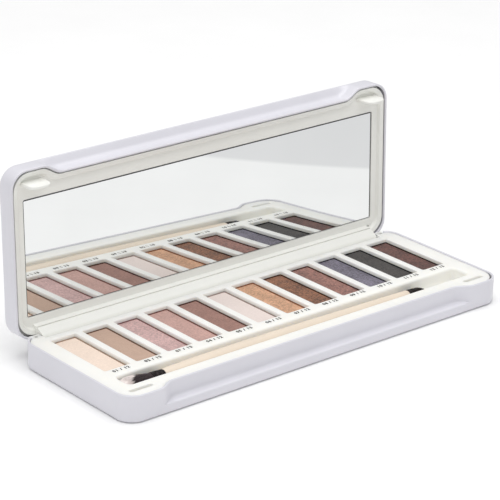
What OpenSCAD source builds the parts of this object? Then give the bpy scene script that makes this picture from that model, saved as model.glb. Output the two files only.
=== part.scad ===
// Hinged eyeshadow palette: two pressed-tin shells, a moulded tray with twelve pans and a brush,
// and a moulded lid frame with a mirror. Millimetres, +Z up, the front edge faces -Y.
// The origin is the centre of the base's underside.

/* [Case] */
// Width of the case along the hinge
case_w = 200; // [190:1:220]
// Depth of the case, front to back
case_d = 71.5; // [70:0.5:80]
// Height of the base shell
base_h = 11.6; // [11.2:0.1:13]
// Height of the lid shell
lid_h = 9; // [9:0.1:11]
// Plan radius of the case's corners
corner_r = 8; // [6:0.5:10]
// Thickness of the pressed tin
tin_t = 0.4; // [0.3:0.05:0.5]
// Radius of the pressed edge round the flat faces
edge_r = 1.5; // [1:0.1:2]

/* [Finger recess] */
// Half length of the recess where it is at its full depth
recess_half = 75; // [60:1:76]
// Length of the curved shoulder at each end of the recess
shoulder_len = 9; // [7:0.5:11]
// Depth of the recess into the front wall
recess_depth = 3.75; // [2:0.25:4]
// Height of the recess, measured from the rim
recess_h = 7.2; // [5:0.1:7.2]

/* [Hinge] */
// Angle of the lid from closed
lid_angle = 92; // [0:1:100]
// Height of the hinge axis above the underside
hinge_z = 9.4; // [9.3:0.1:9.5]
// Distance of the hinge axis from the outer face of the back wall
hinge_inset = 0.95; // [0.9:0.05:1]
// Radius of the hinge barrel
barrel_r = 2.4; // [2.2:0.1:2.4]
// Radius of the hinge pins
pin_r = 0.8; // [0.6:0.05:0.9]
// Length of a hinge pin
pin_len = 8.4; // [7:0.2:8.4]

/* [Shadows] */
// Distance between neighbouring wells
well_pitch = 15.45; // [15.2:0.05:15.6]
// Width of a well
well_w = 12.1; // [11.5:0.1:12.3]
// Length of a well, front to back
well_l = 36.4; // [34:0.1:36.6]
// Middle of the wells in Y
well_y = 9; // [8.8:0.1:9.2]
// Depth of the powder's face below the tray's top
powder_drop = 1.75; // [1.5:0.05:2.2]
// Thickness of a pan's metal
pan_t = 0.3; // [0.2:0.05:0.4]

/* [Brush groove] */
// Half length of the groove
groove_half = 91; // [90:0.5:92]
// Front edge of the groove in Y
groove_front = -24.4; // [-24.6:0.1:-24]
// Back edge of the groove in Y
groove_back = -15.4; // [-15.6:0.1:-15]
// Depth of the groove
groove_depth = 6.9; // [6.6:0.1:7]

/* [Hidden] */
SHADES = 12;
function two_digits(n) = str(n < 10 ? "0" : "", n);
PANS = [for (i = [1:SHADES]) str("pan_", two_digits(i))];
POWDERS = [for (i = [1:SHADES]) str("powder_", two_digits(i))];
SHADE_COLOURS = [
    "peachpuff", "tan", "rosybrown", "burlywood", "rosybrown", "mistyrose",
    "peru", "sienna", "rosybrown", "slategray", "dimgray", "brown"];
SHOULDER_STEPS = 10;

$fn = 48;
eps = 0.01;
over = 1;

// closed-lid heights
rim_gap = 0.3;
lid_rim_z = base_h + rim_gap;
lid_top_z = lid_rim_z + lid_h;

// tray
wall = 0.8;
plate = 1.2;
fit_gap = 0.15;
tray_top = base_h - 0.4;
moulding_in = tin_t + fit_gap;
glue_t = 0.3;
tray_foot = tin_t + glue_t;
skirt_foot = 1;
rail_half = 85;
rail_w = 4;
well_floor = tray_top - 4.6;
pan_gap = 0.2;
pan_w = well_w - 2 * pan_gap;
pan_l = well_l - 2 * pan_gap;
pan_floor = well_floor + glue_t;
powder_top = tray_top - powder_drop;
pan_lip = 0.3;
pan_rim = powder_top + pan_lip;
well_x0 = -well_pitch * (SHADES - 1) / 2;
slot_x = 89;
slot_len = 10.8;
slot_w = 1.9;
slot_y = -29.4;
groove_y = (groove_front + groove_back) / 2;
groove_floor = tray_top - groove_depth;

// hinge
hinge_y = case_d / 2 - hinge_inset;
barrel_half = 90.6;
knuckle_half = 91;
knuckle_end = 95.6;
knuckle_r = tray_top - hinge_z;
pin_clear = 0.05;
pin_mid = 90.8;
pin_hole_end = pin_mid + pin_len / 2;
window = 1.2;
tin_cut_half = knuckle_end + 0.4;

// hinge web, seen along X with the lid closed: a face tangent to the barrel's front that rises to
// the raised strip along the frame's back
web_face = 0.3;
web_reach = 4.2;
web_dy = -web_reach;
web_dz = lid_rim_z + web_face - hinge_z;
web_far = norm([web_dy, web_dz]);
web_dir = atan2(-web_dz, -web_dy) - asin(barrel_r / web_far);
web_run = sqrt(web_far * web_far - barrel_r * barrel_r);
web_y = hinge_y + web_dy;
touch_y = web_y + web_run * cos(web_dir);
touch_z = hinge_z + web_dz + web_run * sin(web_dir);

// clearance channel in the tray, parallel to the web
channel_gap = 0.35;
normal_y = sin(web_dir);
normal_z = -cos(web_dir);
channel_floor = hinge_z - barrel_r - 0.4;
function channel_y(z, gap) =
    touch_y + normal_y * gap + (z - touch_z - normal_z * gap) * cos(web_dir) / sin(web_dir);
hinge_block_y = channel_y(tray_top, channel_gap + wall);

// lid frame, with heights measured from the lid's rim plane towards the lid's face
frame_face = 2.4;
border_face = 0.8;
border_in = 3.2;
frame_plate = 1.3;
mirror_face = 2.7;
mirror_t = 1.3;
sheet_t = 0.2;
mirror_half = 93.1;
mirror_front = -22.6;
mirror_back = 27.1;
mirror_gap = 0.25;
pocket_floor = mirror_face + mirror_t + sheet_t;
frame_floor = pocket_floor + 1.2;
liner_depth = recess_h - 0.1;
liner_back = case_d / 2 - moulding_in;
liner_rail_y = 17;
liner_rail_foot = lid_h - tin_t - glue_t;
tongue_w = 10;
tongue_t = 1.2;
tongue_len = 6.2;
tongue_r = 3.2;
frame_wall = 1.2;

// brush, along X
brush_z = groove_floor + 3.35;
brush_y = groove_y;
handle_x0 = -71;
handle_x1 = 59.5;
ferrule_x0 = -77;
hair_x0 = -90.6;
tip_x1 = 69.5;

// -------------------------------------------------------------------------------- shared shapes

// height of the recess's front line above the full front wall at a place along X
function shoulder(t) = (1 - cos(180 * t)) / 2;

// a rectangle with round corners, each side inset by the same amount
module round_rect(w, d, r) {
    square([w - 2 * r, d], center = true);
    square([w, d - 2 * r], center = true);
    for (sx = [-1, 1])
        for (sy = [-1, 1])
            translate([sx * (w / 2 - r), sy * (d / 2 - r)])
                circle(r);
}

module full_outline(inset) {
    round_rect(case_w - 2 * inset, case_d - 2 * inset, corner_r - inset);
}

// the space outside the recessed front wall, for an outline inset by the given amount
module recess_region(inset) {
    front = -case_d / 2;
    half = recess_half + inset / 2;
    left = [for (k = [0:SHOULDER_STEPS])
        [-half - shoulder_len * (1 - k / SHOULDER_STEPS),
         front + inset + recess_depth * shoulder(k / SHOULDER_STEPS)]];
    right = [for (k = [0:SHOULDER_STEPS])
        [half + shoulder_len * k / SHOULDER_STEPS,
         front + inset + recess_depth * shoulder(1 - k / SHOULDER_STEPS)]];
    polygon(concat(left, right,
        [[half + shoulder_len, front - over], [-half - shoulder_len, front - over]]));
}

module rim_outline(inset) {
    difference() {
        full_outline(inset);
        recess_region(inset);
    }
}

// the shell's wall and floor profile, from the wall's outer face inwards: x is measured from the
// outer face, y from the flat face
module edge_profile() {
    difference() {
        translate([edge_r, edge_r])
            circle(edge_r);
        translate([edge_r, edge_r])
            circle(edge_r - tin_t);
        translate([edge_r, -over])
            square([edge_r + over, 3 * edge_r]);
        translate([-over, edge_r])
            square([3 * edge_r, edge_r + over]);
    }
}

// a strip of rounded edge along +X, with its outer face at y = 0
module edge_strip(len) {
    translate([-len / 2, 0, 0])
        rotate([90, 0, 90])
            linear_extrude(len)
                edge_profile();
}

// the rounded edge between a shell's walls and its flat face
module pressed_edge() {
    straight_w = case_w - 2 * corner_r;
    straight_d = case_d - 2 * corner_r;
    for (a = [0, 180])
        rotate(a)
            translate([0, -case_d / 2, 0])
                edge_strip(straight_w);
    for (a = [90, 270])
        rotate(a)
            translate([0, -case_w / 2, 0])
                edge_strip(straight_d);
    for (k = [0:3])
        translate([(k == 0 || k == 3 ? 1 : -1) * straight_w / 2, (k < 2 ? 1 : -1) * straight_d / 2, 0])
            rotate(k * 90)
                rotate_extrude(angle = 90)
                    translate([corner_r, 0])
                        mirror([1, 0])
                            edge_profile();
}

// a pressed shell, open upwards: flat face, rounded edge, lower wall, ledge and recessed upper wall
module shell(height) {
    ledge_z = height - recess_h;
    linear_extrude(tin_t)
        full_outline(edge_r);
    pressed_edge();
    translate([0, 0, edge_r])
        linear_extrude(max(ledge_z - edge_r, eps))
            difference() {
                full_outline(0);
                full_outline(tin_t);
            }
    translate([0, 0, ledge_z])
        linear_extrude(tin_t)
            difference() {
                full_outline(0);
                rim_outline(tin_t);
            }
    translate([0, 0, ledge_z])
        linear_extrude(recess_h)
            difference() {
                rim_outline(0);
                rim_outline(tin_t);
            }
}

// places shapes that are drawn with the lid closed where the open lid holds them
module on_lid() {
    translate([0, hinge_y, hinge_z])
        rotate([-lid_angle, 0, 0])
            translate([0, -hinge_y, -hinge_z])
                children();
}

// turns a shape drawn from the lid's rim plane upwards, +Z towards the lid's face
module from_lid_rim() {
    on_lid()
        translate([0, 0, lid_rim_z])
            children();
}

module at_wells() {
    for (i = [0:SHADES - 1])
        translate([well_x0 + i * well_pitch, well_y, 0])
            children();
}

// -------------------------------------------------------------------------------- base

module base_tin() {
    color("lavender")
        difference() {
            shell(base_h);
            translate([-tin_cut_half, case_d / 2 - corner_r / 2, channel_floor - wall])
                cube([2 * tin_cut_half, corner_r, base_h]);
        }
}

// one rectangle per well, grown by the same amount on every side
module well_rects(grow) {
    at_wells()
        square([well_w + 2 * grow, well_l + 2 * grow], center = true);
}

module groove_rect(grow) {
    translate([-groove_half - grow, groove_front - grow])
        square([2 * (groove_half + grow), groove_back - groove_front + 2 * grow]);
}

module slot_rects(grow) {
    for (s = [-1, 1])
        translate([s * slot_x, slot_y])
            square([slot_len + 2 * grow, slot_w + 2 * grow], center = true);
}

// everything behind the wells, kept solid round the hinge
module hinge_rect() {
    translate([-case_w, hinge_block_y])
        square([2 * case_w, case_d]);
}

module hollow(z0, z1) {
    translate([0, 0, z0])
        linear_extrude(z1 - z0)
            difference() {
                rim_outline(moulding_in + wall);
                children();
            }
}

// two ribs that the tray's glue strips hold: one under the groove, one under the wells
module rail_rects() {
    for (y = [groove_y, well_y + 10])
        translate([0, y])
            square([2 * rail_half, rail_w], center = true);
}

// the tray's half of the hinge beyond each end of the barrel
module knuckles() {
    for (s = [-1, 1])
        translate([s * (knuckle_half + knuckle_end) / 2, 0, 0]) {
            translate([0, hinge_y, hinge_z])
                rotate([0, 90, 0])
                    cylinder(r = knuckle_r, h = knuckle_end - knuckle_half, center = true);
            translate([0, hinge_y - 2, hinge_z])
                cube([knuckle_end - knuckle_half, 4, 2 * knuckle_r], center = true);
        }
}

module channel_space() {
    low_y = channel_y(channel_floor + 0.6, channel_gap);
    rotate([90, 0, 90])
        translate([0, 0, -knuckle_half])
            linear_extrude(2 * knuckle_half)
                polygon([
                    [channel_y(tray_top + over, channel_gap), tray_top + over],
                    [low_y, channel_floor + 0.6],
                    [low_y, channel_floor],
                    [case_d, channel_floor],
                    [case_d, tray_top + over]]);
}

module shadow_tray() {
    under_groove = groove_floor - wall;
    under_wells = well_floor - wall;
    color("ivory")
        difference() {
            union() {
                translate([0, 0, skirt_foot])
                    linear_extrude(tray_top - skirt_foot)
                        rim_outline(moulding_in);
                translate([0, 0, tray_foot])
                    linear_extrude(skirt_foot)
                        rail_rects();
                knuckles();
            }
            translate([0, 0, well_floor])
                linear_extrude(tray_top)
                    well_rects(0);
            translate([0, 0, groove_floor])
                linear_extrude(tray_top)
                    groove_rect(0);
            translate([0, 0, tray_top - tongue_len - 1])
                linear_extrude(tray_top)
                    slot_rects(0);
            hollow(tray_foot - over, under_groove) {
                slot_rects(wall);
                hinge_rect();
                rail_rects();
            }
            hollow(under_groove - eps, under_wells) {
                slot_rects(wall);
                hinge_rect();
                groove_rect(wall);
                rail_rects();
            }
            hollow(under_wells - eps, tray_top - plate) {
                slot_rects(wall);
                hinge_rect();
                groove_rect(wall);
                well_rects(wall);
            }
            channel_space();
            for (s = [-1, 1]) {
                translate([s * pin_mid, hinge_y, hinge_z])
                    rotate([0, 90, 0])
                        cylinder(r = pin_r, h = pin_len, center = true);
                translate([s * (pin_hole_end - 3) - window / 2, hinge_y - window / 2, hinge_z])
                    cube([window, window, 2 * plate + over]);
            }
        }
}

module tray_adhesive() {
    color("gainsboro")
        translate([0, 0, tin_t])
            linear_extrude(glue_t)
                rail_rects();
}

module pan_adhesive() {
    color("whitesmoke")
        at_wells()
            for (s = [-1, 1])
                translate([0, s * 9, well_floor])
                    cylinder(d = 7, h = glue_t);
}

module pan() {
    color("silver")
        difference() {
            translate([0, 0, pan_floor])
                linear_extrude(pan_rim - pan_floor)
                    round_rect(pan_w, pan_l, 0.8);
            translate([0, 0, pan_floor + pan_t])
                linear_extrude(pan_rim)
                    round_rect(pan_w - 2 * pan_t, pan_l - 2 * pan_t, 0.5);
        }
}

module powder(i) {
    color(SHADE_COLOURS[i])
        translate([0, 0, pan_floor + pan_t])
            linear_extrude(powder_top - pan_floor - pan_t)
                round_rect(pan_w - 2 * pan_t, pan_l - 2 * pan_t, 0.5);
}

module hinge_pin(side) {
    color("silver")
        translate([side * pin_mid, hinge_y, hinge_z])
            rotate([0, 90, 0])
                cylinder(r = pin_r, h = pin_len, center = true);
}

// -------------------------------------------------------------------------------- lid

module lid_tin() {
    color("lavender")
        on_lid()
            translate([0, 0, lid_top_z])
                mirror([0, 0, 1])
                    shell(lid_h);
}

module window_outline(grow) {
    translate([-mirror_half - grow, mirror_front - grow])
        square([2 * (mirror_half + grow), mirror_back - mirror_front + 2 * grow]);
}

module tongue() {
    translate([0, tongue_t / 2, 0])
        rotate([90, 0, 0])
            linear_extrude(tongue_t) {
                translate([-tongue_w / 2, -tongue_len + tongue_r])
                    square([tongue_w, tongue_len - tongue_r + frame_face + eps]);
                translate([-tongue_w / 2 + tongue_r, -tongue_len])
                    square([tongue_w - 2 * tongue_r, tongue_r]);
                for (s = [-1, 1])
                    translate([s * (tongue_w / 2 - tongue_r), -tongue_len + tongue_r])
                        circle(tongue_r);
            }
}

// barrel, web and raised back strip, in true closed-lid heights
module hinge_leaf() {
    rotate([90, 0, 90])
        translate([0, 0, -barrel_half])
            linear_extrude(2 * barrel_half) {
                translate([hinge_y, hinge_z])
                    circle(barrel_r);
                polygon([
                    [web_y, lid_rim_z + frame_face + eps],
                    [web_y, lid_rim_z + web_face],
                    [touch_y, touch_z],
                    [hinge_y, hinge_z],
                    [liner_back, hinge_z],
                    [liner_back, lid_rim_z + frame_face + eps]]);
            }
}

// two ribs that the frame's glue strips hold
module liner_rails() {
    for (s = [-1, 1])
        translate([0, s * liner_rail_y])
            square([2 * rail_half, rail_w], center = true);
}

module lid_liner() {
    color("ivory")
        difference() {
            union() {
                from_lid_rim() {
                    translate([0, 0, frame_face])
                        linear_extrude(liner_depth - frame_face)
                            rim_outline(moulding_in);
                    translate([0, 0, border_face])
                        linear_extrude(frame_face - border_face + eps)
                            difference() {
                                rim_outline(moulding_in);
                                rim_outline(border_in);
                            }
                    translate([0, 0, frame_floor])
                        linear_extrude(liner_rail_foot - frame_floor)
                            liner_rails();
                    for (s = [-1, 1])
                        translate([s * slot_x, slot_y, 0])
                            tongue();
                }
                on_lid()
                    hinge_leaf();
            }
            from_lid_rim() {
                translate([0, 0, -over])
                    linear_extrude(over + pocket_floor)
                        window_outline(0);
                translate([0, 0, frame_face + frame_plate])
                    linear_extrude(lid_h)
                        difference() {
                            rim_outline(moulding_in + frame_wall);
                            window_outline(frame_wall);
                        }
                translate([0, 0, frame_floor])
                    linear_extrude(lid_h)
                        difference() {
                            window_outline(frame_wall + eps);
                            liner_rails();
                        }
            }
            on_lid()
                for (s = [-1, 1])
                    translate([s * pin_mid, hinge_y, hinge_z])
                        rotate([0, 90, 0])
                            cylinder(r = pin_r + pin_clear, h = pin_len + 2, center = true);
        }
}

module liner_adhesive() {
    color("gainsboro")
        from_lid_rim()
            translate([0, 0, liner_rail_foot])
                linear_extrude(glue_t)
                    liner_rails();
}

module mirror_glass() {
    color("silver")
        from_lid_rim()
            translate([0, 0, mirror_face])
                linear_extrude(mirror_t)
                    window_outline(-mirror_gap);
}

module mirror_adhesive() {
    color("gray")
        from_lid_rim()
            translate([0, 0, mirror_face + mirror_t])
                linear_extrude(sheet_t)
                    window_outline(-2);
}

// -------------------------------------------------------------------------------- brush

// turns a profile, drawn as [place along X, radius] points, about the brush's axis
module turned(points) {
    translate([0, brush_y, brush_z])
        rotate([0, 90, 0])
            rotate_extrude()
                polygon(concat(
                    [[0, points[0][0]]],
                    [for (p = points) [p[1], p[0]]],
                    [[0, points[len(points) - 1][0]]]));
}

module brush_handle() {
    color("antiquewhite")
        turned([
            [handle_x0, 2.5],
            [handle_x0 + 3, 2.8],
            [handle_x0 + 20, 3.2],
            [handle_x0 + 45, 3.3],
            [handle_x0 + 75, 3.1],
            [handle_x0 + 105, 2.7],
            [handle_x1, 2.4]]);
}

module brush_ferrule() {
    color("black")
        turned([[ferrule_x0, 2.9], [ferrule_x0 + 2, 2.8], [handle_x0, 2.5]]);
}

// a hair fan: both profiles are drawn as [place along X, half width]
module crossed(plan, side) {
    far = 2 * groove_depth;
    translate([0, brush_y, brush_z])
        intersection() {
            translate([0, 0, -far / 2])
                linear_extrude(far)
                    polygon(concat(plan, [for (k = [len(plan) - 1:-1:0]) [plan[k][0], -plan[k][1]]]));
            translate([0, far / 2, 0])
                rotate([90, 0, 0])
                    linear_extrude(far)
                        polygon(concat(side, [for (k = [len(side) - 1:-1:0]) [side[k][0], -side[k][1]]]));
        }
}

module brush_bristles() {
    color("dimgray")
        crossed(
            [[hair_x0, 3.4], [hair_x0 + 0.8, 4.1], [hair_x0 + 3, 4.35], [hair_x0 + 8, 3.7], [ferrule_x0, 2.5]],
            [[hair_x0, 1.6], [hair_x0 + 1.5, 2.8], [hair_x0 + 4, 3.2], [ferrule_x0, 2.5]]);
}

module applicator_ferrule() {
    color("black")
        turned([[handle_x1, 2.4], [handle_x1 + 4, 2.3]]);
}

module applicator_tip() {
    color("black")
        turned([
            [handle_x1 + 4, 2.1],
            [handle_x1 + 6.5, 2.2],
            [tip_x1 - 2, 1.6],
            [tip_x1 - 0.5, 0.9],
            [tip_x1, 0.3]]);
}

base_tin();
shadow_tray();
tray_adhesive();
pan_adhesive();
hinge_pin(-1);  // hinge_pin_left
hinge_pin(1);  // hinge_pin_right
lid_tin();
lid_liner();
liner_adhesive();
mirror_glass();  // mirror
mirror_adhesive();
brush_handle();
brush_ferrule();
brush_bristles();
applicator_ferrule();
applicator_tip();
for (i = [0:SHADES - 1])
    translate([well_x0 + i * well_pitch, well_y, 0]) {
        pan();
        powder(i);
    }
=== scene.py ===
"""Eyeshadow palette: the looks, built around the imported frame. Metres, same frame as the CAD."""
import math
import random

import bmesh
import bpy
from mathutils import Matrix, Vector, noise
from mathutils.geometry import tessellate_polygon


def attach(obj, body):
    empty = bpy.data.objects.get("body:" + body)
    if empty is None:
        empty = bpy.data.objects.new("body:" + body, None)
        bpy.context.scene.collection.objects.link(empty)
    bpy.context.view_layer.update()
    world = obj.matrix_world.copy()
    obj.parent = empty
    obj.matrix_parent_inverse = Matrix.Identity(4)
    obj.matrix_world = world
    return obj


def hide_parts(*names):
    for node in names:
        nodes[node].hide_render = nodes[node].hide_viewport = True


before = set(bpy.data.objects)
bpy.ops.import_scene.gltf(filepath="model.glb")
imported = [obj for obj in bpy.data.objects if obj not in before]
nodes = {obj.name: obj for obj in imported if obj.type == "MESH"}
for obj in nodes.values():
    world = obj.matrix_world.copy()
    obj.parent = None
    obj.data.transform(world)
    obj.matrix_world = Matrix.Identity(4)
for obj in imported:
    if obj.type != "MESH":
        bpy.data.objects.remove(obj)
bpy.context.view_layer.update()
MM = 0.001

# ---------------------------------------------------------------- dimensions, in millimetres
# the case: its outline, the two shells' heights, the sheet and its bends
CASE_W, CASE_D, CASE_R = 200.0, 71.5, 8.0
BASE_H, LID_H = 11.6, 9.0
TIN, EDGE_R, RIM_ROLL = 0.4, 1.5, 0.55
LID_SLANT = 2.0                                      # the lid's recess ledge is this much higher at its back
RECESS_HALF, SHOULDER, RECESS_D, RECESS_H = 75.0, 9.0, 3.75, 7.2

# the hinge, and where it holds the lid
HINGE_Y, HINGE_Z = 34.8, 9.4
LID_ANGLE = 92.0
LID_RIM_Z = BASE_H + 0.3
LID_TOP_Z = LID_RIM_Z + LID_H
WEB_FACE, WEB_REACH, FRAME_FACE = 0.3, 4.2, 2.4
BARREL_R, BARREL_HALF, KNUCKLE_HALF, KNUCKLE_END = 2.4, 90.6, 91.0, 95.6
PIN_WINDOW_X, PIN_WINDOW_Y, PIN_WINDOW, PIN_WINDOW_DEEP = 93.6, HINGE_Y - 1.6, 1.2, 3.5
CUT_Z, CUT_HALF = 5.8, 92.0                          # the base's back wall is cut down to clear the barrel

# the mouldings
TRAY_TOP = BASE_H - 0.4
MOULD_FLOOR = 1.0
MOULD_IN, TRAY_LIP, FRAME_LIP = 0.55, 1.24, 1.5
CORNER_EXTRA = 1.5
FRAME_HOLE_X, FRAME_HOLE_Y, FRAME_HOLE_W, FRAME_HOLE_D = 91.45, 30.85, 1.7, 0.78
MIRROR_HALF, MIRROR_FRONT, MIRROR_BACK, MIRROR_FACE = 93.1, -22.6, 27.1, 2.7
MIRROR_T, MIRROR_GAP = 1.3, 0.25
WINDOW_CY = (MIRROR_FRONT + MIRROR_BACK) / 2

# the wells, the brush groove and the latch slots
WELLS = 12
PITCH, WELL_W, WELL_L, WELL_Y, WELL_R = 15.45, 12.1, 36.4, 9.0, 0.6
WELL_FLOOR = TRAY_TOP - 4.6
POWDER_TOP = TRAY_TOP - 1.75
GROOVE_HALF, GROOVE_FRONT, GROOVE_BACK, GROOVE_DEPTH = 91.0, -24.4, -15.4, 6.9
GROOVE_FLOOR = TRAY_TOP - GROOVE_DEPTH
SLOT_X, SLOT_Y, SLOT_LEN, SLOT_W, SLOT_DEEP = 89.0, -29.4, 10.8, 1.9, 7.0
BRUSH_Y, BRUSH_Z = (GROOVE_FRONT + GROOVE_BACK) / 2, GROOVE_FLOOR + 3.35
PRINT_Y, PRINT_SIZE = -11.5, 2.2


def well_x(i):
    """The middle of well i, counted from 0 at the left."""
    return (i - (WELLS - 1) / 2) * PITCH


# ---------------------------------------------------------------- outlines
def arc(cx, cy, radius, start, end, steps):
    """Points along an arc, angles in degrees."""
    turns = [math.radians(start + (end - start) * k / steps) for k in range(steps + 1)]
    return [(cx + radius * math.cos(a), cy + radius * math.sin(a)) for a in turns]


def rounding(radius, steps):
    """(outwards, down) pairs along a rounded edge, from its flat top to its wall."""
    turns = [math.radians(90 * k / steps) for k in range(steps + 1)]
    return [(radius * (1 - math.sin(a)), radius * (1 - math.cos(a))) for a in turns]


def level(outline, z):
    return [(x, y, z) for x, y in outline]


def ring_around_x(x, cy, cz, half_w, half_h, steps):
    """An ellipse in the plane across X."""
    turns = [math.tau * k / steps for k in range(steps)]
    return [(x, cy + half_w * math.cos(a), cz + half_h * math.sin(a)) for a in turns]


def rect_loop(cx, cy, width, depth, radius, grow=0.0, steps=5):
    """A counter-clockwise rounded rectangle, grown outwards by grow."""
    radius = max(radius + grow, 0.02)
    half_w, half_d = width / 2 + grow - radius, depth / 2 + grow - radius
    points = []
    for k, (side_x, side_y) in enumerate(((1, -1), (1, 1), (-1, 1), (-1, -1))):
        points += arc(cx + side_x * half_w, cy + side_y * half_d, radius, 90 * k - 90, 90 * k, steps)
    return points


def recess(x, inset):
    """How far the front wall steps back at x."""
    part = (RECESS_HALF + SHOULDER + inset / 2 - abs(x)) / SHOULDER
    part = min(1.0, max(0.0, part))
    return RECESS_D * (1 - math.cos(math.pi * part)) / 2


# places along the front wall, close together at the recess's shoulders, and along the back wall
FRONT_X = ([-92, -88, -85] + [-84.5 + i for i in range(11)] + [-73, -60, -40, -20, 0, 20, 40, 60, 73]
           + [74.5 + i for i in range(11)] + [85, 88, 92])
BACK_X = [60, 30, 0, -30, -60]
# angles round a corner; the close pair at 60 degrees is where the base's back wall is cut down
CUT_ANGLE = 60
CORNER_ANGLES = [0, 7.5, 15, 22.5, 30, 37.5, 45, 52.5, CUT_ANGLE - 1, CUT_ANGLE + 0.5, 67.5, 75, 82.5, 90]


def case_ring(inset, weight, front_extra=0.0, back_extra=0.0):
    """The case outline, inset, with the recess scaled by weight and, for the mouldings, rounder corners.
    Same number of points every time."""
    def corner(side_x, side_y, angles):
        extra = front_extra if side_y < 0 else back_extra
        radius = CASE_R - inset + extra
        cx, cy = side_x * (CASE_W / 2 - CASE_R - extra), side_y * (CASE_D / 2 - CASE_R - extra)
        turns = [math.radians(a) for a in angles]
        return [(cx + radius * math.cos(a), cy + radius * math.sin(a)) for a in turns]

    front_y = inset - CASE_D / 2
    straight = CASE_W / 2 - CASE_R - front_extra
    points = [(max(-straight, min(straight, x)), front_y + weight * recess(x, inset)) for x in FRONT_X]
    points += corner(1, -1, [a - 90 for a in CORNER_ANGLES[1:]])
    points += corner(1, 1, CORNER_ANGLES)
    points += [(x, CASE_D / 2 - inset) for x in BACK_X]
    points += corner(-1, 1, [180 - a for a in reversed(CORNER_ANGLES)])
    points += corner(-1, -1, [180 + a for a in CORNER_ANGLES[:-1]])
    return points


def lip(loop_at, top, radius, down, steps=4):
    """Rings that roll from a flat top over a rounded lip, then follow down, a list of (grow, z), on the
    wall. loop_at(grow) gives the outline."""
    rings = [level(loop_at(out), top - drop) for out, drop in rounding(radius, steps)]
    return rings + [level(loop_at(grow), z) for grow, z in down]


# ---------------------------------------------------------------- the open lid
LID_PLACE = (Matrix.Translation((0, HINGE_Y, HINGE_Z)) @ Matrix.Rotation(math.radians(-LID_ANGLE), 4, "X")
             @ Matrix.Translation((0, -HINGE_Y, -HINGE_Z)))


def lid_place(points):
    """Closed-lid places to where the open lid holds them."""
    return [tuple(LID_PLACE @ Vector(p)) for p in points]


def from_rim(points):
    """Places measured from the lid's rim plane towards its face, to the open lid."""
    return lid_place([(x, y, LID_RIM_Z + v) for x, y, v in points])


# ---------------------------------------------------------------- meshes
class Build:
    """Collects rings and patches into one mesh."""

    def __init__(self):
        self.verts, self.faces, self.mats = [], [], []

    def add(self, points):
        start = len(self.verts)
        self.verts.extend(tuple(p) for p in points)
        return list(range(start, start + len(points)))

    def face(self, ids, mat=0):
        self.faces.append(tuple(ids))
        self.mats.append(mat)

    def bridge(self, ring_a, ring_b, mat=0):
        for i in range(len(ring_a)):
            j = (i + 1) % len(ring_a)
            self.face((ring_a[i], ring_a[j], ring_b[j], ring_b[i]), mat)

    def loft(self, rings, mat=0):
        ids = [self.add(ring) for ring in rings]
        for ring_a, ring_b in zip(ids, ids[1:]):
            self.bridge(ring_a, ring_b, mat)
        return ids

    def solid(self, rings):
        """A loft with both ends closed."""
        ids = self.loft(rings)
        self.face(ids[0])
        self.face(ids[-1])

    def pit(self, rings):
        """A loft with its far end closed; gives the ring at its mouth."""
        ids = self.loft(rings)
        self.face(ids[-1])
        return ids[0]

    def fill(self, loops, flat):
        """A flat face with holes. Loops are index rings, the outer one first; flat holds them in XY."""
        ids = [i for loop in loops for i in loop]
        for corners in tessellate_polygon([[Vector((x, y, 0.0)) for x, y in ring] for ring in flat]):
            self.face([ids[k] for k in corners])

    def done(self, name, body, mats, sharp):
        """The object, riding on its body, with smooth shading split at edges sharper than sharp degrees."""
        mesh = bpy.data.meshes.new(name)
        mesh.from_pydata([(x * MM, y * MM, z * MM) for x, y, z in self.verts], [], self.faces)
        for mat in mats:
            mesh.materials.append(mat)
        mesh.polygons.foreach_set("material_index", self.mats)
        bm = bmesh.new()
        bm.from_mesh(mesh)
        bmesh.ops.remove_doubles(bm, verts=bm.verts, dist=1e-7)
        bmesh.ops.recalc_face_normals(bm, faces=bm.faces)
        bm.to_mesh(mesh)
        bm.free()
        mesh.polygons.foreach_set("use_smooth", [True] * len(mesh.polygons))
        mesh.set_sharp_from_angle(angle=math.radians(sharp))
        ob = bpy.data.objects.new(name, mesh)
        bpy.context.scene.collection.objects.link(ob)
        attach(ob, body)
        return ob


# ---------------------------------------------------------------- shader helpers
def new_material(name):
    mat = bpy.data.materials.new(name)
    mat.use_nodes = True
    tree = mat.node_tree
    return mat, tree, tree.nodes["Principled BSDF"]


def node(tree, kind, **props):
    made = tree.nodes.new(kind)
    for key, value in props.items():
        setattr(made, key, value)
    return made


def link(tree, output, socket):
    tree.links.new(output, socket)


def coords(tree):
    return node(tree, "ShaderNodeTexCoord").outputs["Object"]


def split_xyz(tree, place):
    parts = node(tree, "ShaderNodeSeparateXYZ")
    link(tree, place, parts.inputs[0])
    return parts.outputs


def noise_tex(tree, place, scale, detail=4.0, rough=0.55):
    made = node(tree, "ShaderNodeTexNoise")
    made.inputs["Scale"].default_value = scale
    made.inputs["Detail"].default_value = detail
    made.inputs["Roughness"].default_value = rough
    link(tree, place, made.inputs["Vector"])
    return made.outputs["Fac"]


def ramp(tree, value, stops):
    made = node(tree, "ShaderNodeValToRGB")
    elements = made.color_ramp.elements
    while len(elements) < len(stops):
        elements.new(0.5)
    for element, (position, colour) in zip(elements, stops):
        element.position = position
        element.color = (*colour, 1.0)
    link(tree, value, made.inputs["Fac"])
    return made.outputs["Color"]


def remap(tree, value, low, high, start=0.0, end=1.0):
    """Low to high while value runs from start to end."""
    made = node(tree, "ShaderNodeMapRange")
    made.inputs["From Min"].default_value = start
    made.inputs["From Max"].default_value = end
    made.inputs["To Min"].default_value = low
    made.inputs["To Max"].default_value = high
    link(tree, value, made.inputs["Value"])
    return made.outputs["Result"]


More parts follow.
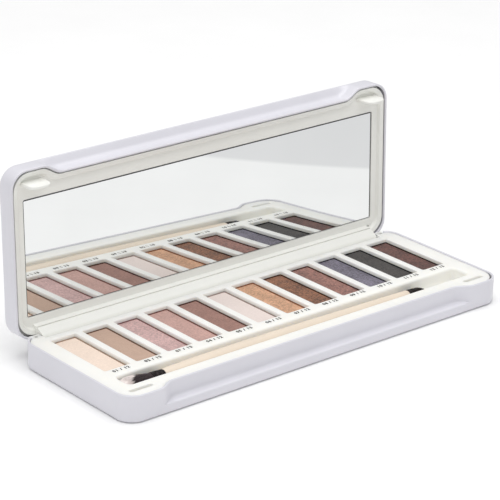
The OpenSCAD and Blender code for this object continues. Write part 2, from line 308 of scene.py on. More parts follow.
def maths(tree, operation, a, b):
    made = node(tree, "ShaderNodeMath", operation=operation)
    for socket, value in zip(made.inputs, (a, b)):
        if isinstance(value, float):
            socket.default_value = value
        else:
            link(tree, value, socket)
    return made.outputs[0]


def bump(tree, shader, height, strength, distance, under=None):
    made = node(tree, "ShaderNodeBump")
    made.inputs["Strength"].default_value = strength
    made.inputs["Distance"].default_value = distance
    link(tree, height, made.inputs["Height"])
    if under is not None:
        link(tree, under, made.inputs["Normal"])
    link(tree, made.outputs["Normal"], shader.inputs["Normal"])
    return made.outputs["Normal"]


def srgb(*levels):
    """Linear colour from 0 to 255 levels."""
    parts = [value / 255.0 for value in levels]
    return tuple(p / 12.92 if p <= 0.04045 else ((p + 0.055) / 1.055) ** 2.4 for p in parts)


def shade(colour, factor):
    return tuple(min(1.0, part * factor) for part in colour)


# ---------------------------------------------------------------- materials; texture scales are per metre
def tin_material():
    mat, tree, shader = new_material("pearl_tin_paint")
    place = coords(tree)
    base = srgb(220, 219, 226)
    wide = noise_tex(tree, place, scale=45.0, detail=3.0)
    tones = ramp(tree, wide, [(0.35, shade(base, 0.985)), (0.65, shade(base, 1.015))])
    link(tree, tones, shader.inputs["Base Color"])
    fine = noise_tex(tree, place, scale=2600.0, detail=3.0)
    link(tree, remap(tree, fine, 0.30, 0.42), shader.inputs["Roughness"])
    shader.inputs["Coat Weight"].default_value = 0.25
    shader.inputs["Coat Roughness"].default_value = 0.18
    orange_peel = noise_tex(tree, place, scale=900.0, detail=2.0)
    peel = bump(tree, shader, orange_peel, strength=0.05, distance=0.0002)
    bump(tree, shader, fine, strength=0.04, distance=0.0001, under=peel)
    return mat


def plastic_material(name, colour, rough=0.42, glow=0.0):
    """Satin plastic; glow is how much light spreads inside it."""
    mat, tree, shader = new_material(name)
    place = coords(tree)
    wide = noise_tex(tree, place, scale=60.0, detail=3.0)
    tones = ramp(tree, wide, [(0.3, shade(colour, 0.985)), (0.7, shade(colour, 1.01))])
    link(tree, tones, shader.inputs["Base Color"])
    fine = noise_tex(tree, place, scale=1800.0, detail=4.0)
    link(tree, remap(tree, fine, rough - 0.05, rough + 0.07), shader.inputs["Roughness"])
    shader.inputs["Subsurface Weight"].default_value = glow
    shader.inputs["Subsurface Radius"].default_value = (1.0, 0.95, 0.85)
    shader.inputs["Subsurface Scale"].default_value = 0.004
    bump(tree, shader, fine, strength=0.06, distance=0.0001)
    return mat


def powder_material(name, colour, shimmer, mottling):
    """Pressed powder, matt where shimmer is 0, flecked where it is more; mottling is its colour's spread."""
    mat, tree, shader = new_material(name)
    place = coords(tree)
    soft = noise_tex(tree, place, scale=160.0, detail=4.0, rough=0.6)
    mottle = noise_tex(tree, place, scale=950.0, detail=3.0, rough=0.6)
    grain = noise_tex(tree, place, scale=2600.0, detail=5.0, rough=0.7)
    small = maths(tree, "ADD", maths(tree, "MULTIPLY", mottle, 0.4), maths(tree, "MULTIPLY", grain, 0.35))
    blend = maths(tree, "ADD", maths(tree, "MULTIPLY", soft, 0.25), small)
    tones = ramp(tree, blend, [(0.42, shade(colour, 1 - mottling)), (0.5, colour),
                               (0.58, shade(colour, 1 + mottling))])
    link(tree, tones, shader.inputs["Base Color"])
    if shimmer:
        flecks = node(tree, "ShaderNodeTexVoronoi")
        flecks.inputs["Scale"].default_value = 2600.0
        link(tree, place, flecks.inputs["Vector"])
        link(tree, remap(tree, flecks.outputs["Distance"], 0.30, 0.62), shader.inputs["Roughness"])
        shader.inputs["Metallic"].default_value = 0.25 * shimmer
        shader.inputs["Sheen Weight"].default_value = 0.15
    else:
        link(tree, remap(tree, grain, 0.72, 0.95), shader.inputs["Roughness"])
        shader.inputs["Sheen Weight"].default_value = 0.1
    shader.inputs["Specular IOR Level"].default_value = 0.3
    rough = bump(tree, shader, mottle, strength=0.3 + 0.3 * shimmer, distance=0.00015)
    bump(tree, shader, grain, strength=0.35, distance=0.00012, under=rough)
    return mat


def metal_material(name, colour, rough):
    mat, tree, shader = new_material(name)
    shader.inputs["Metallic"].default_value = 1.0
    fine = noise_tex(tree, coords(tree), scale=1400.0, detail=3.0)
    link(tree, ramp(tree, fine, [(0.3, shade(colour, 0.9)), (0.7, colour)]), shader.inputs["Base Color"])
    link(tree, remap(tree, fine, rough - 0.06, rough + 0.08), shader.inputs["Roughness"])
    bump(tree, shader, fine, strength=0.05, distance=0.0001)
    return mat


def pan_material(name, powder):
    """Pressed metal that carries a film of its powder, its colour darkened well below the powder's as painted
    shade in the crevice round the cake.
    """
    mat, tree, shader = new_material(name)
    place = coords(tree)
    patchy = noise_tex(tree, place, scale=420.0, detail=4.0, rough=0.65)
    # the pan wall's colour: its powder's, darkened far below it, a real film of dust plus painted shade in
    # the crevice round the cake
    dust_and_painted_shade = tuple(0.62 * part ** 1.6 for part in powder)
    link(tree, ramp(tree, patchy, [(0.35, shade(dust_and_painted_shade, 0.72)), (0.6, dust_and_painted_shade)]), shader.inputs["Base Color"])
    shader.inputs["Metallic"].default_value = 0.25
    link(tree, remap(tree, patchy, 0.5, 0.75), shader.inputs["Roughness"])
    fine = noise_tex(tree, place, scale=2400.0, detail=3.0)
    bump(tree, shader, fine, strength=0.15, distance=0.0001)
    return mat


# The glued glass is very slightly bent. In metres, with x along it and u up from its middle, its surface
# rises by x (GLASS_TILT_X + GLASS_TWIST u) + GLASS_TILT_U u.
GLASS_MIDDLE_Z = 0.04175
GLASS_TILT_X, GLASS_TILT_U, GLASS_TWIST = -0.0102, -0.0117, -0.29


def mirror_material():
    mat, tree, shader = new_material("mirror_glass")
    place = coords(tree)
    shader.inputs["Metallic"].default_value = 1.0
    wide = noise_tex(tree, place, scale=30.0, detail=2.0)
    tones = ramp(tree, wide, [(0.3, (0.79, 0.80, 0.795)), (0.7, (0.81, 0.82, 0.815))])
    link(tree, tones, shader.inputs["Base Color"])
    haze = noise_tex(tree, place, scale=300.0, detail=3.0)
    link(tree, remap(tree, haze, 0.012, 0.03), shader.inputs["Roughness"])
    parts = split_xyz(tree, place)
    up_glass = maths(tree, "ADD", parts["Z"], -GLASS_MIDDLE_Z)
    slope = maths(tree, "ADD", maths(tree, "MULTIPLY", up_glass, GLASS_TWIST), GLASS_TILT_X)
    along = maths(tree, "MULTIPLY", parts["X"], slope)
    height = maths(tree, "ADD", along, maths(tree, "MULTIPLY", up_glass, GLASS_TILT_U))
    bump(tree, shader, height, strength=1.0, distance=1.0)
    return mat


def handle_material():
    mat, tree, shader = new_material("cream_handle_paint")
    place = coords(tree)
    base = srgb(232, 217, 199)
    wide = noise_tex(tree, place, scale=90.0, detail=3.0)
    tones = ramp(tree, wide, [(0.3, shade(base, 0.97)), (0.7, shade(base, 1.02))])
    link(tree, tones, shader.inputs["Base Color"])
    fine = noise_tex(tree, place, scale=1500.0, detail=3.0)
    link(tree, remap(tree, fine, 0.34, 0.46), shader.inputs["Roughness"])
    shader.inputs["Coat Weight"].default_value = 0.2
    bump(tree, shader, fine, strength=0.05, distance=0.0001)
    return mat


def hair_material(name, dark, light, border_from, border_to):
    """Dark near the ferrule, pale at the tips; between them, two places on X in metres, a streaky, slanted
    border."""
    mat, tree, shader = new_material(name)
    place = coords(tree)
    parts = split_xyz(tree, place)
    stretch = node(tree, "ShaderNodeVectorMath", operation="MULTIPLY")
    stretch.inputs[1].default_value = (60.0, 1500.0, 1500.0)
    link(tree, place, stretch.inputs[0])
    streak = noise_tex(tree, stretch.outputs[0], scale=1.0, detail=2.0)
    streak_len = 0.006
    aslant = maths(tree, "MULTIPLY", maths(tree, "ADD", parts["Y"], -BRUSH_Y * MM), -1.0)
    ragged = maths(tree, "ADD", aslant, maths(tree, "MULTIPLY", streak, streak_len))
    shifted = maths(tree, "ADD", parts["X"], ragged)
    part = remap(tree, shifted, 0.0, 1.0, start=border_from + streak_len / 2, end=border_to + streak_len / 2)
    tones = ramp(tree, part, [(0.0, dark), (0.55, shade(light, 0.82)), (1.0, light)])
    link(tree, tones, shader.inputs["Base Color"])
    link(tree, remap(tree, streak, 0.42, 0.7), shader.inputs["Roughness"])
    shader.inputs["Sheen Weight"].default_value = 0.2
    return mat


SHADES = [                                           # colour, shimmer, mottling, from left to right
    ((234, 215, 200), 0.0, 0.055),
    ((188, 160, 143), 0.0, 0.06),
    ((203, 169, 166), 1.0, 0.26),
    ((194, 156, 147), 0.6, 0.16),
    ((153, 114, 103), 0.3, 0.2),
    ((229, 215, 209), 0.4, 0.035),
    ((208, 162, 130), 1.0, 0.3),
    ((130, 87, 63), 1.0, 0.75),
    ((145, 103, 93), 0.4, 0.55),
    ((110, 105, 119), 0.6, 0.55),
    ((56, 52, 50), 0.2, 0.7),
    ((91, 57, 50), 0.4, 0.85),
]

MAT_TIN = tin_material()
MAT_TRAY = plastic_material("tray_plastic", srgb(244, 243, 238), glow=0.5)
MAT_LINER = plastic_material("liner_plastic", srgb(240, 240, 235))
MAT_INK = plastic_material("print_ink", srgb(25, 24, 24), rough=0.6)
MAT_PIN = metal_material("pin_steel", srgb(170, 170, 172), rough=0.3)
MAT_MIRROR = mirror_material()
# dark grey for the glass's ground edges and for the band of painted shade just inside its face's edge
MAT_MIRROR_EDGE_AND_SHADE = plastic_material("mirror_edge_and_shade", srgb(78, 78, 80), rough=0.35)
MAT_HANDLE = handle_material()
MAT_FERRULE = metal_material("ferrule_black", srgb(48, 44, 44), rough=0.38)
MAT_HAIR = hair_material("brush_hair", srgb(55, 38, 42), srgb(248, 239, 236),
                         border_from=-0.0846, border_to=-0.0862)
MAT_TIP = plastic_material("applicator_hair", srgb(58, 50, 48), rough=0.7)
MAT_POWDER = [powder_material("powder_shade_%02d" % n, srgb(*colour), shimmer, mottling)
              for n, (colour, shimmer, mottling) in enumerate(SHADES, 1)]
MAT_PANS = [pan_material("dust_and_painted_shade_pan_%02d" % n, srgb(*colour))
            for n, (colour, shimmer, mottling) in enumerate(SHADES, 1)]
MAT_GLUE = plastic_material("glue", srgb(210, 210, 204), rough=0.6)


# ---------------------------------------------------------------- tin shells
def shell_profile(height, slant):
    """(inset, height, recess weight) steps of a pressed shell: from the middle of its face, up the outside,
    over the rolled rim and down the inside. The recess's ledge has a fillet under and over it."""
    ledge = height - RECESS_H
    under = min(0.9, ledge - EDGE_R - 0.02)
    over = 1.3
    steps = [(out, drop, 0.0) for out, drop in rounding(EDGE_R, 6)]
    steps.append((0.0, ledge - under, 0.0))
    for out, drop in rounding(under, 5)[1:]:
        deep = drop / RECESS_D
        steps.append((0.0, ledge - out + slant * deep, deep))
    for out, drop in rounding(over, 5):
        deep = 1 - out / RECESS_D
        steps.append((0.0, ledge + drop + slant * deep, deep))
    roll_z = height - RIM_ROLL
    steps.append((0.0, roll_z, 1.0))
    steps += [(RIM_ROLL - x, roll_z + z, 1.0) for x, z in arc(0, 0, RIM_ROLL, 0, 180, 7)[1:]]
    steps += [(2 * RIM_ROLL - 0.02, roll_z - 0.12, 1.0), (TIN, roll_z - 0.25, 1.0)]
    steps += [(TIN, ledge + slant + over, 1.0), (TIN, ledge + 0.75 * slant - TIN, 1.0)]
    steps.append((TIN, ledge - TIN, 0.0))
    steps += [(TIN + out, TIN + drop, 0.0) for out, drop in reversed(rounding(EDGE_R - TIN, 6))]
    return steps


def cut_height(x, y, z, inset, height):
    """Where a step at z goes when the back wall is cut down between the corners, to let the barrel out."""
    past = abs(x) - CUT_HALF
    in_front = y <= CASE_D / 4
    if in_front or (past >= 0 and past >= (CASE_R - inset) * math.cos(math.radians(CUT_ANGLE))):
        return z
    if z > height - RIM_ROLL - 2:
        return CUT_Z - (height - z)
    return min(z, CUT_Z - 2.2)


def base_shell_mesh():
    b = Build()
    rings = []
    for inset, z, weight in shell_profile(BASE_H, 0.0):
        rings.append([(x, y, cut_height(x, y, z, inset, BASE_H)) for x, y in case_ring(inset, weight)])
    b.solid(rings)
    return b.done("base_shell", "base", [MAT_TIN], sharp=50)


def lid_shell_mesh():
    b = Build()
    b.solid([lid_place(level(case_ring(inset, weight), LID_TOP_Z - z))
             for inset, z, weight in shell_profile(LID_H, LID_SLANT)])
    return b.done("lid_shell", "lid", [MAT_TIN], sharp=50)


base_shell = base_shell_mesh()
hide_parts("base_tin")
lid_shell = lid_shell_mesh()
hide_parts("lid_tin")

# ---------------------------------------------------------------- hinge geometry, as on the closed lid
# the web runs from (WEB_Y, WEB_TOP) in the frame's face, at an angle of WEB_DIR, to touch the barrel
WEB_Y, WEB_TOP = HINGE_Y - WEB_REACH, LID_RIM_Z + WEB_FACE
WEB_RISE = WEB_TOP - HINGE_Z
WEB_FAR = math.hypot(WEB_REACH, WEB_RISE)
WEB_DIR = math.atan2(-WEB_RISE, WEB_REACH) - math.asin(BARREL_R / WEB_FAR)
WEB_RUN = math.sqrt(WEB_FAR ** 2 - BARREL_R ** 2)
TOUCH_Y = WEB_Y + WEB_RUN * math.cos(WEB_DIR)
TOUCH_Z = WEB_TOP + WEB_RUN * math.sin(WEB_DIR)
CHANNEL_FLOOR = HINGE_Z - BARREL_R - 0.4


def channel_y(z):
    """The tray's slanted back face at height z: it follows the closed web with a gap."""
    gap = 0.35
    across_y, across_z = math.sin(WEB_DIR), -math.cos(WEB_DIR)
    return TOUCH_Y + across_y * gap + (z - TOUCH_Z - across_z * gap) / math.tan(WEB_DIR)


# ---------------------------------------------------------------- tray
def tray_outline(inset, lip_in):
    """The tray's outline: the case outline in front and at the sides, notched for the hinge at the back."""
    back, notch = CASE_D / 2 - inset, channel_y(TRAY_TOP) - lip_in
    half = KNUCKLE_HALF + lip_in
    ring = [(x, y) for x, y in case_ring(inset, 1.0, CORNER_EXTRA)
            if y <= CASE_D / 2 - CASE_R or abs(x) >= KNUCKLE_HALF + 1.01]
    right_end = max(i for i, (x, y) in enumerate(ring) if x > 0 and y > 0)
    step_in = [(half, back), (half, back - 2), (half, notch), (half - 30, notch), (30, notch)]
    step_out = [(-x, y) for x, y in reversed(step_in)]
    return ring[:right_end + 1] + step_in + step_out + ring[right_end + 1:]


def well_rings(i):
    return lip(lambda grow: rect_loop(well_x(i), WELL_Y, WELL_W, WELL_L, WELL_R, grow),
               TRAY_TOP, 0.5, [(0, WELL_FLOOR)], steps=6)


def groove_rings():
    """The brush groove: a broad soft lip, and a floor that curves up into its walls."""
    fillet = 2.8
    down = [(-drop, GROOVE_FLOOR + out) for out, drop in rounding(fillet, 6)]
    return lip(lambda grow: rect_loop(0, BRUSH_Y, 2 * GROOVE_HALF, GROOVE_BACK - GROOVE_FRONT, 2.2, grow, 6),
               TRAY_TOP, 1.1, down, steps=7)


def slot_rings(side):
    return lip(lambda grow: rect_loop(side * SLOT_X, SLOT_Y, SLOT_LEN, SLOT_W, 0.8, grow),
               TRAY_TOP, 0.4, [(0, TRAY_TOP - SLOT_DEEP)])


def pin_window_rings(side):
    """The small square hole in the top of each knuckle, over the hinge pin."""
    x, y, width = side * PIN_WINDOW_X, PIN_WINDOW_Y, PIN_WINDOW
    return lip(lambda grow: rect_loop(x, y, width, width, 0.15, grow, 2),
               TRAY_TOP, 0.08, [(0, TRAY_TOP - PIN_WINDOW_DEEP)], steps=2)


def channel_profile():
    """(y, z) outline of the block under the barrel, with a bevel where its slanted face meets the floor."""
    front, bevel, back = channel_y(TRAY_TOP) + 0.02, channel_y(CHANNEL_FLOOR + 0.6), CASE_D / 2 - MOULD_IN
    return [(front, TRAY_TOP - 0.3), (bevel, CHANNEL_FLOOR + 0.6), (bevel + 0.3, CHANNEL_FLOOR + 0.1),
            (bevel + 0.8, CHANNEL_FLOOR), (back, CHANNEL_FLOOR), (back, MOULD_FLOOR), (front, MOULD_FLOOR)]


def tray():
    b = Build()
    outer = []
    for lip_in, drop in rounding(0.3, 4):
        outer.append(level(tray_outline(TRAY_LIP + lip_in, lip_in), TRAY_TOP - drop))
    for inset, z in ((TRAY_LIP, TRAY_TOP - 1.6), (MOULD_IN, TRAY_TOP - 2.2), (MOULD_IN, MOULD_FLOOR)):
        outer.append(level(tray_outline(inset, 0.0), z))
    loops = [b.loft(outer)[0]]
    loops += [b.pit(well_rings(i)) for i in range(WELLS)]
    loops.append(b.pit(groove_rings()))
    loops += [b.pit(slot_rings(side)) for side in (-1, 1)]
    loops += [b.pit(pin_window_rings(side)) for side in (-1, 1)]
    b.fill(loops, [[b.verts[k][:2] for k in loop] for loop in loops])
    b.solid([[(x, y, z) for y, z in channel_profile()] for x in (-KNUCKLE_HALF, KNUCKLE_HALF)])
    knuckle_r = TRAY_TOP - HINGE_Z
    for side in (-1, 1):
        b.solid([ring_around_x(side * x, HINGE_Y, HINGE_Z, r, r, 36)
                 for x, r in ((KNUCKLE_HALF, knuckle_r - 0.15), (KNUCKLE_HALF + 0.15, knuckle_r),
                              (KNUCKLE_END - 0.3, knuckle_r), (KNUCKLE_END, knuckle_r - 0.3))])
    return b.done("tray_moulding", "base", [MAT_TRAY], sharp=40)


tray_ob = tray()
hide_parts("shadow_tray")


# ---------------------------------------------------------------- lid frame
def frame_outline(inset):
    return case_ring(inset, 1.0, CORNER_EXTRA, CORNER_EXTRA)


def frame_border():
    """(inset, depth below the rim) steps of the raised border: up from the flat face by a steep facet, then
    a flatter one, over the rounded outer lip and down its wall."""
    lip_r = 0.22
    steps = [(4.15, FRAME_FACE), (4.05, FRAME_FACE - 0.03), (3.98, FRAME_FACE - 0.12),
             (3.46, 1.12), (3.4, 1.03), (3.3, 0.98), (FRAME_LIP + lip_r + 0.05, 0.57)]
    steps += [(FRAME_LIP + out, 0.54 + drop) for out, drop in rounding(lip_r, 4)]
    return steps + [(FRAME_LIP, 2.6), (MOULD_IN, 3.0), (MOULD_IN, 7.1), (MOULD_IN + 1.2, 7.1)]


def add_frame_face(b):
    """The flat face round the mirror, its border, the mirror's window and a small hole at the web's end."""
    border = frame_border()
    mouth = b.loft([from_rim(level(frame_outline(inset), v)) for inset, v in border])[0]
    edge_r = 0.12

    def window(grow):
        return rect_loop(0, WINDOW_CY, 2 * MIRROR_HALF, MIRROR_BACK - MIRROR_FRONT, 0.8, grow)

    window_rings = [level(window(out), FRAME_FACE + drop) for out, drop in rounding(edge_r, 4)]
    window_rings.append(level(window(0), MIRROR_FACE + MIRROR_T + 0.2))
    window_mouth = b.pit([from_rim(ring) for ring in window_rings])
    hole = rect_loop(FRAME_HOLE_X, FRAME_HOLE_Y, FRAME_HOLE_W, FRAME_HOLE_D, 0.2, 0.0, 3)
    hole_mouth = b.pit([from_rim(level(hole, v)) for v in (FRAME_FACE, FRAME_FACE + 4.1)])
    b.fill([mouth, window_mouth, hole_mouth], [frame_outline(border[0][0]), window(edge_r), hole])


def add_tongue(b, side):
    """A half-moon tab that stands out of the frame and goes into a slot of the tray."""
    half, length, tip_r, root = 5.0, 6.2, 3.4, FRAME_FACE + 0.3
    flare = [(half + 0.4, root), (half + 0.12, root - 0.5), (half, root - 1.0)]
    outline = [(-x, z) for x, z in flare]
    outline += arc(tip_r - half, tip_r - length, tip_r, 180, 270, 8)
    outline += arc(half - tip_r, tip_r - length, tip_r, 270, 360, 8)
    outline += reversed(flare)
    rings = []
    for dy, shrink in ((-0.7, 0.3), (-0.62, 0.12), (-0.45, 0.0), (0.45, 0.0), (0.62, 0.12), (0.7, 0.3)):
        rings.append([(side * SLOT_X + x * (1 - shrink / half), SLOT_Y + dy, z + (shrink if z < 0 else 0))
                      for x, z in outline])
    b.solid([from_rim(ring) for ring in rings])


def barrel_profile():
    """(y, z) outline of the hinge barrel, its web, and the raised strip that the web grows from, with a fine
    groove between strip and web."""
    dir_y, dir_z = math.cos(WEB_DIR), math.sin(WEB_DIR)
    face_z = LID_RIM_Z + FRAME_FACE
    outline = [(WEB_Y - 0.35, face_z + 0.2), (WEB_Y - 0.12, face_z - 0.35), (WEB_Y, face_z - 0.8),
               (WEB_Y, WEB_TOP + 0.3), (WEB_Y + 0.06, WEB_TOP + 0.12)]
    for far, deep in ((0.12, 0.02), (0.35, 0.0), (0.42, 0.55), (0.72, 0.55), (0.79, 0.0), (0.95, 0.0)):
        outline.append((WEB_Y + far * dir_y - deep * dir_z, WEB_TOP + far * dir_z + deep * dir_y))
    touch = math.degrees(math.atan2(TOUCH_Z - HINGE_Z, TOUCH_Y - HINGE_Y)) % 360
    top_end, step = 360 + 80, 10
    for k in range(math.ceil((top_end - touch) / step)):
        a = math.radians(touch + step * k)
        outline.append((HINGE_Y + BARREL_R * math.cos(a), HINGE_Z + BARREL_R * math.sin(a)))
    outline.append((HINGE_Y + 0.3, face_z + 0.2))
    return outline


def add_barrel(b):
    rings = []
    round_off = 0.15
    for x, scale in ((-BARREL_HALF, 0.94), (round_off - BARREL_HALF, 1.0),
                     (BARREL_HALF - round_off, 1.0), (BARREL_HALF, 0.94)):
        rings.append([(x, HINGE_Y + (y - HINGE_Y) * scale, HINGE_Z + (z - HINGE_Z) * scale)
                      for y, z in barrel_profile()])
    b.solid([lid_place(ring) for ring in rings])


def liner():
    b = Build()
    add_frame_face(b)
    for side in (-1, 1):
        add_tongue(b, side)
    add_barrel(b)
    return b.done("lid_frame", "lid", [MAT_LINER], sharp=40)


liner_ob = liner()
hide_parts("lid_liner")


# ---------------------------------------------------------------- mirror
def mirror_sheet():
    """The glass: a bright face, a thin dark band of painted shade just inside its edge, finer at the left and
    at the hinge and wider at the right and at the lid's free edge, and dark ground edges."""
    b = Build()
    width, depth = 2 * (MIRROR_HALF - MIRROR_GAP), MIRROR_BACK - MIRROR_FRONT - 2 * MIRROR_GAP
    rings = []
    for shift, grow, v in ((0.13, -0.3, 0.0), (0.0, -0.06, 0.0), (0.0, 0.0, 0.06), (0.0, 0.0, MIRROR_T)):
        loop = rect_loop(-shift, WINDOW_CY + shift, width, depth, 0.6, grow)
        rings.append(from_rim(level(loop, MIRROR_FACE + v)))
    # the band between the first two rings takes the dark edge material: painted shade round the glass
    silver, edge = 0, 1
    ids = b.loft(rings, edge)
    b.face(ids[0], silver)
    b.face(ids[-1], edge)
    return b.done("mirror_sheet", "lid", [MAT_MIRROR, MAT_MIRROR_EDGE_AND_SHADE], sharp=30)


mirror_ob = mirror_sheet()
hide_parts("mirror")


# ---------------------------------------------------------------- powders
def cake_height(x, y, edge, seed):
    """A cake's top: a soft outer edge, and a slightly uneven face; edge is the distance to the border."""
    place = Vector((x, y, 0))
    wide_waves = 0.03 * noise.noise(place * 0.25 + seed)
    fine_waves = 0.012 * noise.noise(place * 1.7 + seed)
    soft_edge = 0.1 * max(0.0, 1 - edge / 0.4) ** 2
    return POWDER_TOP - soft_edge + (wide_waves + fine_waves) * min(1, edge)


def cake(i):
    """A pressed cake: a grid of small cells on top, and walls down to its pan's floor."""
    b = Build()
    width, depth = WELL_W - 1.0, WELL_L - 1.0
    cells_x, cells_y = 22, 66
    seed = Vector((i * 7.3, i * 3.1, 0.5))
    rows = []
    for row in range(cells_y + 1):
        dy = (row / cells_y - 0.5) * depth
        points = []
        for col in range(cells_x + 1):
            dx = (col / cells_x - 0.5) * width
            x, y = well_x(i) + dx, WELL_Y + dy
            points.append((x, y, cake_height(x, y, min(width / 2 - abs(dx), depth / 2 - abs(dy)), seed)))
        rows.append(b.add(points))
    for row_a, row_b in zip(rows, rows[1:]):
        for k in range(cells_x):
            b.face((row_a[k], row_a[k + 1], row_b[k + 1], row_b[k]))
    rim = rows[0] + [row[-1] for row in rows[1:]] + rows[-1][-2::-1] + [row[0] for row in rows[-2:0:-1]]
    foot = b.add([(*b.verts[k][:2], WELL_FLOOR + 0.6) for k in rim])
    b.bridge(rim, foot)
    b.face(foot)
    return b.done("powder_cake_%02d" % (i + 1), "base", [MAT_POWDER[i]], sharp=60)


for i in range(WELLS):
    ob = cake(i)
    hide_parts("powder_%02d" % (i + 1))


# ---------------------------------------------------------------- brush
def spline(points):
    """A smooth Catmull-Rom line through (x, radius) points."""
    steps = 40 // len(points) + 1
    ends = [points[0]] + points + [points[-1]]
    line = []
    for p0, p1, p2, p3 in zip(ends, ends[1:], ends[2:], ends[3:]):
        for j in range(steps):
            t = j / steps
            line.append(tuple(0.5 * (2 * b + (c - a) * t + (2 * a - 5 * b + 4 * c - d) * t * t
                                     + (3 * b - a - 3 * c + d) * t ** 3)
                              for a, b, c, d in zip(p0, p1, p2, p3)))
    return line + [points[-1]]


def turned(name, profile, mat, cad):
    """A piece turned round the brush's axis, from (x, radius) points."""
    b = Build()
    b.solid([ring_around_x(x, BRUSH_Y, BRUSH_Z, r, r, 40) for x, r in profile])
    ob = b.done(name, "brush", [mat], sharp=50)
    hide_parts(cad)


def size_at(rings, x):
    """The half width and half height at x, between rings of (x, half width, half height)."""
    for (xa, wa, ha), (xb, wb, hb) in zip(rings, rings[1:]):
        if min(xa, xb) <= x <= max(xa, xb):
            t = (x - xa) / (xb - xa)
            return wa + (wb - wa) * t, ha + (hb - ha) * t
    return rings[-1][1:]


def tuft(name, rings, mat, cad, count, seed, spread, thick, lift=0.0):
    """A brush head: a solid core with many separate hairs laid along it. Rings are (x, half width, half
    height), from the root; the tip stands lift higher than the root."""
    rnd = random.Random(seed)
    b = Build()
    x_root, x_tip = rings[0][0], rings[-1][0]
    core, joints, hair_sides = 0.88, 8, (0.5, 2.6, 4.7)

    def axis_z(x):
        return BRUSH_Z + lift * ((x - x_root) / (x_tip - x_root)) ** 1.5

    b.solid([ring_around_x(x, BRUSH_Y, axis_z(x), core * w, core * h, 24) for x, w, h in rings])
    for _ in range(count):
        angle = rnd.uniform(0, math.tau)
        depth = math.sqrt(rnd.uniform(0.5, 1.0))
        outermost = depth > 0.85
        cut = rnd.uniform(0.84 if outermost else 0.93, 1.0)
        drift = rnd.gauss(0, 0.05)
        lean = rnd.gauss(0, spread)
        hair = []
        for k in range(joints):
            t = k / (joints - 1)
            x = x_root + (x_tip - x_root) * t * cut
            w, h = size_at(rings, x)
            a, out = angle + drift * t, depth + lean * t * t
            y, z = BRUSH_Y + w * out * math.cos(a), axis_z(x) + h * out * math.sin(a)
            r = thick * (1 - 0.7 * t)
            hair.append([(x, y + r * math.cos(c), z + r * math.sin(c)) for c in hair_sides])
        b.solid(hair)
    ob = b.done(name, "brush", [mat], sharp=60)
    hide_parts(cad)


HANDLE = spline([(-70.9, 2.5), (-68, 2.8), (-51, 3.2), (-26, 3.3), (4, 3.1), (34, 2.7), (59.1, 2.4)])
turned("brush_handle_turned", [(-71, 2.3)] + HANDLE + [(59.5, 2.2)],
       MAT_HANDLE, "brush_handle")
turned("brush_ferrule_crimped",
       [(-77, 2.55), (-76.9, 2.75), (-75.6, 2.8), (-75.4, 2.68), (-75.1, 2.68), (-74.9, 2.78),
        (-73.4, 2.72), (-73.2, 2.6), (-72.9, 2.6), (-72.7, 2.66), (-71.2, 2.55), (-71, 2.45)],
       MAT_FERRULE, "brush_ferrule")
turned("applicator_ferrule_turned",
       [(59.5, 2.3), (59.6, 2.4), (60.9, 2.4), (61.1, 2.3),
        (61.4, 2.3), (61.6, 2.38), (63.3, 2.3), (63.5, 2.15)],
       MAT_FERRULE, "applicator_ferrule")
tuft("brush_hair_tuft",
     [(-76.8, 2.5, 2.5), (-79, 3.1, 2.9), (-82, 3.75, 3.2), (-85.5, 4.3, 3.45), (-88.2, 4.35, 3.3),
      (-89.8, 4.1, 2.6), (-90.5, 3.7, 1.6)],
     MAT_HAIR, "brush_bristles", count=1800, seed=11, spread=0.015, thick=0.085, lift=0.35)
tuft("applicator_hair_tuft",
     [(63.4, 2.1, 2.1), (65.5, 2.15, 2.15), (67.6, 1.5, 1.5), (69.2, 0.7, 0.7)],
     MAT_TIP, "applicator_tip", count=500, seed=12, spread=0.02, thick=0.07)

# ---------------------------------------------------------------- printed numbers in front of the wells
for i in range(WELLS):
    curve = bpy.data.curves.new("print_%02d" % (i + 1), "FONT")
    curve.body = "%02d / %d" % (i + 1, WELLS)
    curve.size = PRINT_SIZE * MM
    curve.space_character = 1.25
    curve.offset = 0.11 * MM
    curve.align_x = "CENTER"
    curve.align_y = "CENTER"
    curve.extrude = 0.01 * MM
    curve.materials.append(MAT_INK)
    ob = bpy.data.objects.new("print_%02d" % (i + 1), curve)
    ob.location = (well_x(i) * MM, PRINT_Y * MM, (TRAY_TOP + 0.012) * MM)
    bpy.context.scene.collection.objects.link(ob)
    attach(ob, "base")


# ---------------------------------------------------------------- CAD nodes that stay
def set_material(node_name, mat):
    mesh = nodes[node_name].data
    mesh.materials.clear()
    mesh.materials.append(mat)


for i in range(WELLS):
    set_material("pan_%02d" % (i + 1), MAT_PANS[i])
for name in ("tray_adhesive", "pan_adhesive", "liner_adhesive", "mirror_adhesive"):
    set_material(name, MAT_GLUE)
for name in ("hinge_pin_left", "hinge_pin_right"):
    set_material(name, MAT_PIN)


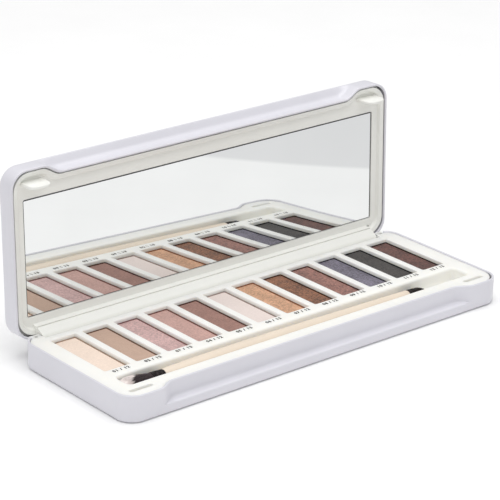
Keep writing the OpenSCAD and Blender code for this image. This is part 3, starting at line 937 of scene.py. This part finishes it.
# ---------------------------------------------------------------- floor, light, camera
def floor_material():
    """Pale paper with painted shade: a little greyer beyond a line 0.2 m off at the front right, the part the
    mirror shows.
    """
    mat, tree, shader = new_material("floor_paper")
    place = coords(tree)
    across = node(tree, "ShaderNodeVectorMath", operation="DOT_PRODUCT")
    across.inputs[1].default_value = (0.74, -0.67, 0.0)
    link(tree, place, across.inputs[0])
    near_side = remap(tree, across.outputs["Value"], 1.0, 0.0, start=0.204, end=0.211)
    pale, paler = (0.955, 0.955, 0.955), (0.975, 0.975, 0.975)
    fibre = ramp(tree, noise_tex(tree, place, scale=20.0, detail=3.0), [(0.3, pale), (0.7, paler)])
    mix = node(tree, "ShaderNodeMix", data_type="RGBA")
    painted_shade_socket, pale_socket, colour_out = mix.inputs[6], mix.inputs[7], mix.outputs[2]
    link(tree, near_side, mix.inputs["Factor"])
    # the grey beyond the line is painted shade, there to be seen in the mirror
    painted_shade_socket.default_value = (0.79, 0.79, 0.80, 1.0)
    link(tree, fibre, pale_socket)
    link(tree, colour_out, shader.inputs["Base Color"])
    shader.inputs["Roughness"].default_value = 0.9
    return mat


def soft_light(name, place, size, power):
    """A square area light that looks at the origin."""
    data = bpy.data.lights.new(name, "AREA")
    data.shape = "RECTANGLE"
    data.size, data.size_y = size, size
    data.energy = power
    ob = bpy.data.objects.new(name, data)
    bpy.context.scene.collection.objects.link(ob)
    ob.location = place
    ob.rotation_euler = (-Vector(place)).to_track_quat("-Z", "Y").to_euler()


def white_world():
    world = bpy.data.worlds.new("studio")
    bpy.context.scene.world = world
    world.use_nodes = True
    background = world.node_tree.nodes["Background"]
    background.inputs["Color"].default_value = (1.0, 1.0, 1.0, 1)
    background.inputs["Strength"].default_value = 0.43


def place_camera(azimuth, elevation, roll, target, distance):
    """A camera at a distance from its target, in metres and degrees; a positive roll lifts its right side."""
    az, el, turn = math.radians(azimuth), math.radians(elevation), math.radians(roll)
    back = Vector((math.sin(az) * math.cos(el), -math.cos(az) * math.cos(el), math.sin(el)))
    level_right = Vector((math.cos(az), math.sin(az), 0.0))
    level_up = back.cross(level_right)
    right = level_right * math.cos(turn) + level_up * math.sin(turn)
    up = level_up * math.cos(turn) - level_right * math.sin(turn)
    eye = target + back * distance
    data = bpy.data.cameras.new("camera")
    ob = bpy.data.objects.new("camera", data)
    bpy.context.scene.collection.objects.link(ob)
    ob.matrix_world = Matrix(((right.x, up.x, back.x, eye.x), (right.y, up.y, back.y, eye.y),
                              (right.z, up.z, back.z, eye.z), (0, 0, 0, 1)))
    data.sensor_width, data.lens = 36.0, 161.76
    data.shift_x, data.shift_y = 0.01324, -0.03302
    data.clip_start, data.clip_end = 0.01, 50
    bpy.context.scene.camera = ob


bpy.ops.mesh.primitive_plane_add(size=12, location=(0, 0, -0.00005))
floor = bpy.context.object
floor.name = "floor"
floor.data.materials.append(floor_material())

white_world()
soft_light("top_soft", (0.0, -0.1, 1.4), size=1.8, power=20)
soft_light("left_soft", (-1.2, -0.5, 0.8), size=1.2, power=2)

view = bpy.context.scene.view_settings
view.view_transform = "Standard"
view.look = "None"
view.exposure = 0.0
view.gamma = 1.0
place_camera(azimuth=-40.13, elevation=21.361, roll=1.084, target=Vector((0.354, 18.114, 37.982)) * MM,
             distance=929.918 * MM)
